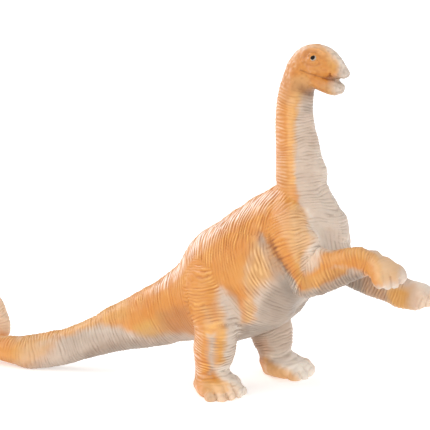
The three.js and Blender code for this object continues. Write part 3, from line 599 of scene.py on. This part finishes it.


# Grooves and ridges of each region, drawn in the same way: height in millimetres, half width, umber painted
# shade along the line, corners
MARKS = {
    HEAD: (
        (-0.8, 7, 0, "325,43 333,47 340,54 346,63"),
        (0.6, 6, 0, "289,60 295,53 302,47"),
        (-0.6, 3, 0, "345,84 344,91 339,94"),
        (-0.7, 0.85, 0.6, "300.5,70 304,71.3 308,73.4 313,75 318,76.2 323,77.6"),
        (-0.6, 1.2, 0.8, "323,77.6 328,79 334,79.4"),
        (-0.5, 1.2, 0.35, "300.8,69.5 302,70.3"),
        (-0.7, 1.1, 0.95, "329.8,74 330,76.2"),
        (-0.9, 2, 0.25, "304,62 308,65 314,66 320,63.5"),
        (1.1, 1.6, 0, "301.5,64 302.5,56 306,50.5 313,48.6 320,50 325,54"),
        (-0.75, 1.3, 0.3, "304,58 306,53.5 310,51.6 316,51.8"),
        (-0.35, 1, 0.2, "318.5,61 322,61.5 324,63"),
        (-0.45, 0.9, 0.45, "308.6,56.3 310,55.4"),
        (0, 1.1, 0.55, "337,78.6 344,78 348.5,76"),
        (0, 1.3, 0.5, "337,92.5 342,92.5 345,90"),
        (0.7, 1.1, 0, "308.3,59.5 310,62.2 313.5,63.3 317.5,61.5"),
        (0.7, 1.1, 0, "308.4,56 311,53.6 315,53.8 318.5,57"),
        (0.35, 1.4, 0, "310,77 318,80 326,83"),
        (-0.35, 0.9, 0.3, "337,84 340,89 343,91"),
        (0.3, 1.2, 0, "337,76.5 342,76.5 346,74.5"),
    ),
    NECK: (
        (-0.6, 7, 0, "317,130 322,156"),
        (0.6, 6, 0, "324,165 328,183"),
    ),
    TORSO + NEAR_LEG + TAIL: (
        (0.8, 7, 0, "183,258 190,245 200,236"),
    ),
    TAIL + TORSO: (
        (-1.2, 5, 0, "180,344 195,342"),
        (-1, 8, 0, "155,278 167,272 178,263"),
    ),
    TAIL: (
        (-3, 7, 0, "-4,366 12,371"),
        (-1.8, 7, 0, "60,328 75,321 93,313"),
        (-0.8, 8, 0, "85,361 110,355 130,351"),
        (-3.2, 6, 0, "1,296 6,304 8,312"),
        (1, 4, 0, "10,324 10,334"),
    ),
    TORSO: (
        (-0.9, 7, 0, "212,222 225,213 240,204"),
        (-2, 11, 0, "222,214 234,205 247,196 260,190 272,185"),
        (3.4, 8, 0, "337,227 341,237 342,248"),
        (2.2, 6, 0, "346,236 349,243 350,250"),
        (-4.6, 9, 0, "318,295 311,303 302,312"),
        (-0.5, 3, 0, "241,326 247,328 254,330"),
    ),
    FAR_LEG: (
        (1.6, 4, 0, "284,381 296,382 305,379"),
        (1.9, 7, 0, "291,322 292,334 292,346"),
        (-2.6, 5, 0, "295,350 304,356"),
        (0.9, 5, 0, "254,340 257,352"),
        (1, 5, 0, "312,360 315,370"),
        (-2.4, 6, 0, "257,356 259,370"),
        (-0.8, 1, 0.2, "300.5,384 301,378 299,372"),
        (-0.6, 1, 0.15, "309,379 307,372 303,366"),
        (-0.4, 1, 0.1, "314,370 311,365 306,361"),
    ),
    NEAR_LEG: (
        (1.2, 4, 0, "201,398 212,401 226,401"),
        (-0.5, 6, 0, "194,340 193,360 193,372"),
        (-1.3, 5, 0, "190,380 193,390"),
        (-1.6, 5, 0, "235,372 243,381"),
        (0.8, 5, 0, "237,345 232,362"),
        (-1.1, 1.1, 0.3, "217,404 216.6,398 215,394"),
        (-0.4, 1.2, 0, "215,394 213.5,388"),
        (-1.1, 1.1, 0.3, "228.2,404 227.6,398 226,394"),
        (-0.4, 1.2, 0, "226,394 224,386"),
        (-1.1, 1.1, 0.25, "236.8,400 236.5,394 234,389"),
        (-0.5, 1.2, 0.05, "234,389 231,382"),
        (0.5, 2.6, 0, "209,391 210,399"),
        (0.5, 2.6, 0, "220.5,388 222,399"),
        (0.5, 2.4, 0, "230.5,388 232,397"),
        (0.4, 2.4, 0, "237,384 241,392"),
    ),
    TORSO + NECK: (
        (-2.2, 7, 0, "322,188 328,198 333,208"),
        (1.6, 7, 0, "319,172 321,180 324,187"),
    ),
    FAR_ARM: (
        (1, 6, 0, "353,238 355,248"),
        (1.2, 6, 0, "409,278 418,282 424,285"),
        (2.2, 7, 0, "396,307 406,310 416,312"),
        (-2, 5, 0, "424,309 430,304"),
        (-0.7, 1.1, 0.2, "417.5,311 419,304 422,298"),
        (-0.7, 1.1, 0.2, "425.5,308 427,301 429,296"),
        (-0.4, 1, 0.1, "421,309 424,302 425,296"),
    ),
    TORSO + NEAR_ARM: (
        (4.6, 8, 0, "315,240 318,247 321,254"),
        (-0.5, 3, 0, "268,236 278,252 289,268 298,286 303,298"),
    ),
    NEAR_ARM: (
        (-2.2, 5, 0, "274,258 283,273 292,287"),
        (-2.2, 6, 0, "370,246 378,249 384,253"),
        (0.2, 5, 0, "389,258 396,264"),
        (1.2, 6, 0, "322,292 334,288 345,286"),
        (0.9, 5, 0, "396,262 404,270 407,276"),
        (-0.9, 1, 0.25, "391.6,290 391.4,283 390.6,277"),
        (-0.35, 1, 0, "390.6,277 388,270"),
        (-0.9, 1, 0.22, "400,287 400,279"),
        (-0.35, 1, 0, "400,279 398,271"),
        (-0.3, 1, 0, "384,284 383.5,272"),
        (0.3, 2, 0, "387,276 387.5,286"),
        (0.3, 2, 0, "395.5,272 396,284"),
    ),
}


def marked(masks, height, u, v, near):
    """Adds the grooves and ridges to the height, and painted umber shade along them to the umber shade mask.
    """
    for regions, marks in MARKS.items():
        share = sum(near[region] for region in regions)
        for rise, half, umber_shade, line in marks:
            line = corners_of(line)
            close = close_to(line, 4 * half, u, v, share)
            gaps = [gap_to_side(u[close], v[close], *side) for side in zip(line[:-1], line[1:])]
            weight = share[close] * np.exp(-((np.minimum.reduce(gaps) / half) ** 2))
            height[close] += rise * weight
            masks["umber_shade"][close] = np.maximum(masks["umber_shade"][close], umber_shade * weight)


def wandered(pixels, points, seed):
    """The pixels, moved by up to about 3, so that no shape has a straight edge."""
    return pixels + 1.8 * noise(points / 8, seed) + 1.3 * noise(points / 2.6, seed + 1)


def painted_masks(points, u, v, near, fold):
    """How much of each paint, painted shade and painted light every point has. At a shape's edge, ridges take
    less of it than grooves.
    """
    painted = {(mask, region): np.zeros(len(points)) for mask in SHAPES for region in near}
    painted["orange", "head"] += 1
    u, v = wandered(u, points, EDGE_SEED), wandered(v, points, EDGE_SEED + 2)
    for mask, shapes in SHAPES.items():
        for regions, value, soft, corners in shapes:
            corners = corners_of(corners)
            close = close_to(corners, soft, u, v, sum(near[region] for region in regions))
            depth = depth_in_shape(u[close], v[close], corners) - STREAK * np.clip(fold[close], -1, 1)
            weight = smoothstep(-soft / 2, soft / 2, depth)
            for region in regions:
                layer = painted[mask, region]
                layer[close] += (value - layer[close]) * weight
    return {mask: sum(near[region] * painted[mask, region] for region in near) for mask in SHAPES}


def hidden_side_paint(masks, points, normals, near):
    """Paints the outer side of the left legs, which the photograph doesn't show, like the right ones."""
    outer = smoothstep(0.15, 0.6, normals[:, 1] + 0.08 * noise(points / 6, OUTER_SEED))
    leg = near["left_hind_leg"] * outer
    lower = smoothstep(4, 9, points[:, 2])
    masks["orange"] += (0.9 * lower - masks["orange"]) * leg
    arm = near["left_foreleg"] * outer * (1 - smoothstep(104, 116, points[:, 0] - STANCE[0]))
    masks["orange"] += (0.9 - masks["orange"]) * arm
    # The outer sides take no painted shade
    for name in ("grey_shade", "umber_shade"):
        masks[name] *= 1 - leg - arm
    return masks


def region_shares(points):
    """The share that each region has of each point."""
    groups = {name: (name,) for name in LIMBS}
    groups["torso"] = ("torso_left_shell", "torso_right_shell")
    groups["neck"] = ("neck",)
    groups["head"] = ("head", "lower_jaw")
    groups["tail"] = ("tail", "tail_curl")
    pull = {}
    for region, names in groups.items():
        gap = np.minimum.reduce([distance_to(name, points, REACH) for name in names])
        pull[region] = np.exp(-((gap / FADE) ** 2)) + 1e-9
    whole = sum(pull.values())
    return {region: value / whole for region, value in pull.items()}


def set_attribute(mesh, name, values):
    found = mesh.attributes.get(name) or mesh.attributes.new(name, "FLOAT", "POINT")
    found.data.foreach_set("value", values.astype(np.float32))


def get_attribute(mesh, name):
    return rows_of(mesh.attributes[name].data, "value", 1, np.float32).ravel().astype(float)


def skin_coordinates(points, near):
    """The places along and across each centre line, and the pixel of the photograph that paints a point."""
    lines = {}
    *lines["spine"], side = along_path(points, SPINE, SPINE_STEPS)
    for name, path in LIMBS.items():
        *lines[name], _ = along_path(points, path, LIMB_STEPS)
    spinal = sum(near[region] for region in SPINE_REGIONS)
    beyond = np.maximum(lines["spine"][1], 0) * smoothstep(0.3, 0.6, spinal)
    u, v = pixels_of(points - 2 * beyond[:, None] * side)
    return lines, u, v


def face_labels(mesh, points):
    """For each face of the skin, the CAD piece that it belongs to, as flat-edged patches."""
    quads = quads_of(mesh)
    middles = points[quads].mean(axis=1)
    gaps = np.stack([distance_to(name, middles, LABEL_REACH) for name in NODES], axis=1)
    degree = np.bincount(quads.ravel(), minlength=len(points)).astype(float)[:, None]
    for _ in range(LABEL_ROUNDS):
        at_corners = np.zeros((len(points), len(NODES)))
        for k in range(4):
            np.add.at(at_corners, quads[:, k], gaps)
        gaps = (at_corners / degree)[quads].mean(axis=1)
    return quads, gaps.argmin(axis=1)


def highlighted(points, normals, near, across):
    """How much painted highlight the skin takes: along the back where it faces the back light, and on skin
    that faces to the rear.
    """
    across = abs(across)
    back = smoothstep(0.5, 0.85, normals @ unit(HIGHLIGHT_FACING)) * (1 - smoothstep(22, 33, across))
    back *= 0.12 + 0.88 * smoothstep(5, 15, across)
    rear = smoothstep(0.0, 0.75, -normals[:, 0])
    low = 1 - smoothstep(45, 60, points[:, 2])
    highlight = back * near["torso"] + 0.06 * smoothstep(0.3, 0.9, normals[:, 2]) * near["tail"]
    return highlight + rear * (0.5 * near["neck"] + 0.7 * low * near["right_hind_leg"] + 0.9 * near["head"])


def finished_skin():
    """The whole skin as a mesh with its painted values, and the label of each face."""
    rough = joined_skin()
    points, _ = mesh_arrays(rough)
    near = region_shares(points)
    tips = 1 - smoothstep(12, 20, points[:, 2]) + smoothstep(102, 112, points[:, 0] - STANCE[0])
    busy = near["head"] * 0.8 + sum(near[n] for n in LIMBS) * (0.25 + 0.65 * np.clip(tips, 0, 1))
    points = relaxed(points, edges_of(rough), RELAX_ROUNDS, 1 - busy)
    rough.vertices.foreach_set("co", (points * MM).ravel())
    labels = clean_labels(rough, *face_labels(rough, points))
    lines, u, v = skin_coordinates(points, near)
    values = {"u": u, "v": v, **near}
    for name, line in lines.items():
        values |= {f"{name} {k}": line[k] for k in range(3)}
    for name, value in values.items():
        set_attribute(rough, name, value)
    rough.attributes.new("label", "INT", "FACE").data.foreach_set("value", labels.astype(np.int32))
    holder = linked("holder", rough)
    fine = applied(holder, "SUBSURF", levels=1, render_levels=1)
    bpy.data.objects.remove(holder)
    points, triangles = mesh_arrays(fine)
    near = {region: get_attribute(fine, region) for region in near}
    lines = {name: [get_attribute(fine, f"{name} {k}") for k in range(3)] for name in lines}
    u, v = get_attribute(fine, "u"), get_attribute(fine, "v")
    for name in values:
        fine.attributes.remove(fine.attributes[name])
    normals = vertex_normals(points, triangles)
    height, fold = wrinkles(points, normals, near, lines)
    masks = painted_masks(points, u, v, near, fold)
    masks = hidden_side_paint(masks, points, normals, near)
    marked(masks, height, u, v, near)
    # Painted highlight along the back and on skin that faces to the rear
    masks["highlight"] = highlighted(points, normals, near, lines["spine"][1])
    # Fold sets the painted highlight on ridges and the painted shade in grooves, stronger where the torso is
    # tan
    masks["fold"] = fold * (1 + 3.2 * masks["tan"] * near["torso"])
    points = points + height[:, None] * normals
    points[:, 2] = np.maximum(points[:, 2], 0)
    fine.vertices.foreach_set("co", (points * MM).ravel())
    fine.update()
    return fine, points, masks


# Colours. Creams and oranges are mixed in patches. The other pairs are one for bare and one for sprayed skin.
# Grey, umber and the grooves' colours are painted shade, the ridges', the highlight's and the crests' colours
# painted highlights, and the pale pair is partly painted light.
CREAMS = ((0.51, 0.387, 0.297, 1), (0.58, 0.452, 0.357, 1))
ORANGES = ((0.60, 0.22, 0.032, 1), (0.63, 0.265, 0.055, 1))
TAN = (0.60, 0.31, 0.07, 1)
GREY_SHADE = (0.35, 0.28, 0.225, 1)
UMBER_SHADE = (0.42, 0.30, 0.20, 1)
PALE_AND_PAINTED_LIGHT = ((0.86, 0.77, 0.67, 1), (0.80, 0.46, 0.20, 1))
RIDGE_HIGHLIGHT = ((0.74, 0.64, 0.55, 1), (0.82, 0.445, 0.12, 1))
GROOVE_SHADE = ((0.46, 0.39, 0.34, 1), (0.76, 0.60, 0.40, 1))
HIGHLIGHT_TINT = (0.72, 0.45, 0.31, 1)
CREST_HIGHLIGHT = (0.90, 0.74, 0.64, 1)

# The vinyl's softness, and its noise: patches of cream and of orange, sheen, and grain
SOFTNESS = {"Subsurface Weight": 0.08, "Subsurface Radius": (1.0, 0.45, 0.2), "Subsurface Scale": 0.002}
CREAM_SCALE, ORANGE_SCALE, SHEEN_SCALE, GRAIN_SCALE = 90.0, 60.0, 700.0, 1500.0
ROUGHNESS = (0.36, 0.48)
GRAIN = {"Strength": 0.3, "Distance": 0.0004}


def set_inputs(node, values):
    for name, value in values.items():
        node.inputs[name].default_value = value


def new_material(name, values):
    """A new material, its node tree, and its shader with these values."""
    made = bpy.data.materials.new(name)
    made.use_nodes = True
    shader = made.node_tree.nodes["Principled BSDF"]
    set_inputs(shader, values)
    return made, made.node_tree, shader


def vinyl_material():
    made, tree, shader = new_material("sprayed vinyl", SOFTNESS)
    nodes, links = tree.nodes, tree.links

    def node(kind, **settings):
        new = nodes.new(kind)
        for key, value in settings.items():
            setattr(new, key, value)
        return new

    def attribute(name):
        return node("ShaderNodeAttribute", attribute_name=name).outputs["Fac"]

    def blend(factor, first, second, mode="MIX"):
        new = node("ShaderNodeMix", data_type="RGBA", blend_type=mode)
        for socket, value in ((0, factor), (6, first), (7, second)):
            if isinstance(value, bpy.types.NodeSocket):
                links.new(value, new.inputs[socket])
            else:
                new.inputs[socket].default_value = value
        return new.outputs[2]

    def by_spray(pair):
        return blend(attribute("orange"), *pair)

    def noise_value(scale):
        new = node("ShaderNodeTexNoise")
        set_inputs(new, {"Scale": scale, "Detail": 3.0})
        links.new(place, new.inputs["Vector"])
        return new.outputs["Fac"]

    def ramp(value, low, high, out_low=0.0, out_high=1.0):
        new = node("ShaderNodeMapRange")
        links.new(value, new.inputs["Value"])
        set_inputs(new, {"From Min": low, "From Max": high, "To Min": out_low, "To Max": out_high})
        return new.outputs["Result"]

    def weaker(value, most):
        return ramp(value, 0.0, 1.0, 0.0, most)

    def product(first, second):
        new = node("ShaderNodeMath", operation="MULTIPLY")
        links.new(first, new.inputs[0])
        links.new(second, new.inputs[1])
        return new.outputs[0]

    place = node("ShaderNodeTexCoord").outputs["Object"]
    cream = blend(ramp(noise_value(CREAM_SCALE), 0.35, 0.65), *CREAMS)
    orange = blend(ramp(noise_value(ORANGE_SCALE), 0.35, 0.65), *ORANGES)
    orange = blend(attribute("tan"), orange, TAN)
    base = blend(attribute("orange"), cream, orange)
    # Painted shade, grey-brown
    base = blend(attribute("grey_shade"), base, GREY_SHADE)
    # Pale paint, partly painted light on skin in shade
    base = blend(weaker(attribute("pale"), 0.95), base, by_spray(PALE_AND_PAINTED_LIGHT))
    # Painted highlight on the ridges
    base = blend(weaker(ramp(attribute("fold"), 0.3, 0.85), 0.65), base, by_spray(RIDGE_HIGHLIGHT))
    # Painted highlight along the back and on rear-facing skin, brightest on the ridges
    base = blend(weaker(attribute("highlight"), 0.36), base, HIGHLIGHT_TINT)
    base = blend(product(attribute("highlight"), ramp(attribute("fold"), 0.0, 0.6)), base, CREST_HIGHLIGHT)
    # Painted shade in the grooves
    base = blend(ramp(attribute("fold"), 0.0, -0.7, 0.0, 0.8), base, by_spray(GROOVE_SHADE), "MULTIPLY")
    # Painted shade, umber, multiplied over all
    base = blend(attribute("umber_shade"), base, UMBER_SHADE, "MULTIPLY")
    links.new(base, shader.inputs["Base Color"])
    links.new(ramp(noise_value(SHEEN_SCALE), 0.3, 0.7, *ROUGHNESS), shader.inputs["Roughness"])
    bump = node("ShaderNodeBump")
    set_inputs(bump, GRAIN)
    links.new(noise_value(GRAIN_SCALE), bump.inputs["Height"])
    links.new(bump.outputs["Normal"], shader.inputs["Normal"])
    return made


# Division of the skin into closed pieces, one for each CAD piece


def face_pairs(mesh):
    """The two faces on each edge of a closed mesh of quads."""
    order = np.argsort(rows_of(mesh.loops, "edge_index", 1).ravel(), kind="stable")
    return (order // 4).reshape(-1, 2)


def patches_of(labels, pairs):
    """A number for each face that all the joined faces of one label share."""
    same = pairs[labels[pairs[:, 0]] == labels[pairs[:, 1]]]
    patch = np.arange(len(labels))
    while True:
        low = np.minimum(patch[same[:, 0]], patch[same[:, 1]])
        lower = patch.copy()
        np.minimum.at(lower, same[:, 0], low)
        np.minimum.at(lower, same[:, 1], low)
        lower = lower[lower]
        if (lower == patch).all():
            return patch
        patch = lower


def without_islands(labels, pairs):
    """Gives each stray patch of a label to its neighbours."""
    patch = patches_of(labels, pairs)
    counts = np.bincount(patch, minlength=len(labels))
    keep = np.zeros(len(labels), bool)
    for label in range(len(NODES)):
        mine = np.flatnonzero(labels == label)
        keep |= (patch == patch[mine][counts[patch[mine]].argmax()]) & (labels == label)
    labels = np.where(keep, labels, -1)
    while (labels < 0).any():
        for a, b in ((0, 1), (1, 0)):
            lost = (labels[pairs[:, a]] < 0) & (labels[pairs[:, b]] >= 0)
            labels[pairs[lost, a]] = labels[pairs[lost, b]]
    return labels


def clean_labels(mesh, quads, labels):
    """Labels whose patches are each in one piece and never touch themselves at a single corner."""
    pairs, ends = face_pairs(mesh), edges_of(mesh)
    for _ in range(CLEAN_ROUNDS):
        labels = without_islands(labels, pairs)
        border = labels[pairs[:, 0]] != labels[pairs[:, 1]]
        around = np.zeros((len(mesh.vertices), len(NODES)), np.int32)
        for side in range(2):
            for end in range(2):
                np.add.at(around, (ends[border, end], labels[pairs[border, side]]), 1)
        pinched = (around > 2).any(axis=1)
        if not pinched.any():
            break
        votes = np.zeros_like(around)
        for k in range(4):
            np.add.at(votes, (quads[:, k], labels), 1)
        best = votes.argmax(axis=1)
        for k in range(4):
            hit = pinched[quads[:, k]]
            labels[hit] = best[quads[hit, k]]
    return labels


def border_loops(quads):
    """The closed loops of corners along the border of these faces, in the order that caps them."""
    starts = quads.ravel()
    ends = np.roll(quads, -1, axis=1).ravel()
    size = int(quads.max()) + 1
    forward = starts.astype(np.int64) * size + ends
    backward = ends.astype(np.int64) * size + starts
    open_edges = ~np.isin(forward, backward)
    following = dict(zip(ends[open_edges].tolist(), starts[open_edges].tolist()))
    loops = []
    while following:
        first, corner = following.popitem()
        loop = [first]
        while corner != first:
            loop.append(corner)
            corner = following.pop(corner)
        loops.append(loop)
    return loops


LIP_DEPTH = 2.0  # how far the hidden face behind a seam starts below the skin
CAP_DEPTH = 1.5  # and how far it is dished


def build_piece(name, quads, points, normals, masks, material):
    used, inverse = np.unique(quads, return_inverse=True)
    quads = inverse.reshape(-1, 4)
    corners, turned = points[used], normals[used]
    values = {mask: value[used] for mask, value in masks.items()}
    middle = corners.mean(axis=0)
    faces, caps = quads.tolist(), []
    for loop in border_loops(quads):
        inward = CAP_DEPTH * unit(middle - corners[loop].mean(axis=0))
        lip = corners[loop] - LIP_DEPTH * turned[loop] + 0.5 * inward
        heart = lip.mean(axis=0) + inward
        first, count = len(corners), len(loop)
        hub = first + count
        corners = np.vstack([corners, lip, heart])
        turned = np.vstack([turned, turned[loop], unit(heart - middle)])
        for mask, value in values.items():
            values[mask] = np.concatenate([value, value[loop], [value[loop].mean()]])
        for k in range(count):
            after = (k + 1) % count
            caps.append((loop[k], loop[after], first + after, first + k))
            caps.append((first + k, first + after, hub))
    made = new_object(name + "_skin", corners, faces + caps)
    mesh = made.data
    mesh.shade_smooth()
    mesh.normals_split_custom_set_from_vertices(turned.tolist())
    for mask, value in values.items():
        set_attribute(mesh, mask, value)
    mesh.materials.append(material)
    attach(made, BODY)
    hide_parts(name)


def build_skin():
    mesh, points, masks = finished_skin()
    quads = quads_of(mesh)
    labels = rows_of(mesh.attributes["label"].data, "value", 1).ravel()
    _, triangles = mesh_arrays(mesh)
    normals = vertex_normals(points, triangles)
    material = vinyl_material()
    for k, name in enumerate(NODES):
        build_piece(name, quads[labels == k], points, normals, masks, material)
    head = np.isin(quads, quads[labels == NODES.index("head")]).all(axis=1)
    build_eyes(points, quads[head])
    bpy.data.meshes.remove(mesh)


# Eyes: where the camera sees the right one, its size, how far it stands out, its pupil, and the colour and
# roughness of both its parts
EYE_PIXEL = (313.4, 58.4)
EYE_RADIUS = 2.5
EYE_PROUD = 0.85
PUPIL_SPREAD = 44.0
PUPIL_TILT = np.array((-0.34, 0.0, 0.36))
EYE_WHITE = ((0.52, 0.42, 0.33), 0.25)
EYE_BLACK = ((0.012, 0.008, 0.006), 0.12)
EYE_GRAIN_SCALE = 900.0


def eye_material(name, colour, roughness):
    made, tree, shader = new_material(name, {"Roughness": roughness, "Specular IOR Level": 0.12})
    grain = tree.nodes.new("ShaderNodeTexNoise")
    set_inputs(grain, {"Scale": EYE_GRAIN_SCALE})
    mixed = tree.nodes.new("ShaderNodeMix")
    mixed.data_type = "RGBA"
    tree.links.new(grain.outputs["Fac"], mixed.inputs[0])
    mixed.inputs[6].default_value = (*colour, 1)
    mixed.inputs[7].default_value = (*(0.8 * c for c in colour), 1)
    tree.links.new(mixed.outputs[2], shader.inputs["Base Color"])
    return made


def build_eyes(points, quads):
    tree = BVHTree.FromPolygons(points.tolist(), quads.tolist())
    seen = tree.ray_cast(Vector(EYE_POINT), Vector(line_of_sight(EYE_PIXEL)))
    white = eye_material("eye white", *EYE_WHITE)
    black = eye_material("eye black", *EYE_BLACK)
    for side, name in ((-1, "right_eye"), (1, "left_eye")):
        flip = np.array((1, -side, 1))
        place = np.array(seen[0]) * flip + (0, (1 + side) * STANCE[1], 0)
        place, outward = (np.array(v) for v in tree.find_nearest(Vector(place))[:2])
        centre = place - (EYE_RADIUS - EYE_PROUD) * outward
        bpy.ops.mesh.primitive_uv_sphere_add(segments=40, ring_count=24, radius=1.0)
        made = bpy.context.object
        made.name = made.data.name = name
        shell = unit(rows_of(made.data.vertices, "co", 3, float))
        turn = Vector(outward).to_track_quat("Z", "Y").to_matrix()
        shell = shell @ np.array(turn).T
        made.data.vertices.foreach_set("co", ((centre + EYE_RADIUS * shell) * MM).ravel())
        made.data.shade_smooth()
        look = unit(outward + PUPIL_TILT)
        made.data.materials.append(white)
        made.data.materials.append(black)
        limit = math.cos(math.radians(PUPIL_SPREAD))
        for polygon in made.data.polygons:
            facing = shell[list(polygon.vertices)].mean(axis=0) @ look
            polygon.material_index = int(facing > limit)
        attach(made, BODY)


# The floor's half size in millimetres, and its looks
FLOOR_HALF = 30000.0
FLOOR_LOOKS = {
    "Base Color": (0.9, 0.9, 0.9, 1),
    "Roughness": 0.9,
    "Emission Color": (1, 1, 1, 1),
    "Emission Strength": 0.42,
}


def build_floor():
    corners = np.array(((-1, -1, 0), (1, -1, 0), (1, 1, 0), (-1, 1, 0)))
    made = new_object("floor", FLOOR_HALF * corners, [(0, 1, 2, 3)])
    made.data.materials.append(new_material("pale floor", FLOOR_LOOKS)[0])


# Each far light: the direction from the figure to it, its strength, and its spread
SUNS = {
    "front light": ((-0.5, -0.55, 0.65), 1.0, 40),
    "side light": ((0.75, -0.6, 0.25), 0.85, 70),
    "back light": ((-0.75, 0.3, 0.6), 1.1, 30),
}
SKY_STRENGTH = 0.66


def build_lights():
    scene = bpy.context.scene
    for name, (towards, power, spread) in SUNS.items():
        light = bpy.data.lights.new(name, "SUN")
        light.energy = power
        light.angle = math.radians(spread)
        linked(name, light).rotation_euler = Vector(towards).to_track_quat("Z", "Y").to_euler()
    world = bpy.data.worlds.new("studio")
    world.use_nodes = True
    set_inputs(world.node_tree.nodes["Background"], {"Color": (1, 1, 1, 1), "Strength": SKY_STRENGTH})
    scene.world = world
    scene.view_settings.view_transform = "Standard"


def build_camera():
    data = bpy.data.cameras.new("camera")
    data.sensor_width = SENSOR
    data.lens = SENSOR * FOCAL_PIXELS / IMAGE_PIXELS
    data.clip_end = CLIP_END
    made = linked("camera", data)
    made.location = Vector(EYE_POINT * MM)
    made.rotation_mode = "QUATERNION"
    made.rotation_quaternion = Vector(-BACK).to_track_quat("-Z", "Y")
    bpy.context.scene.camera = made


build_camera()
build_floor()
build_lights()
build_skin()
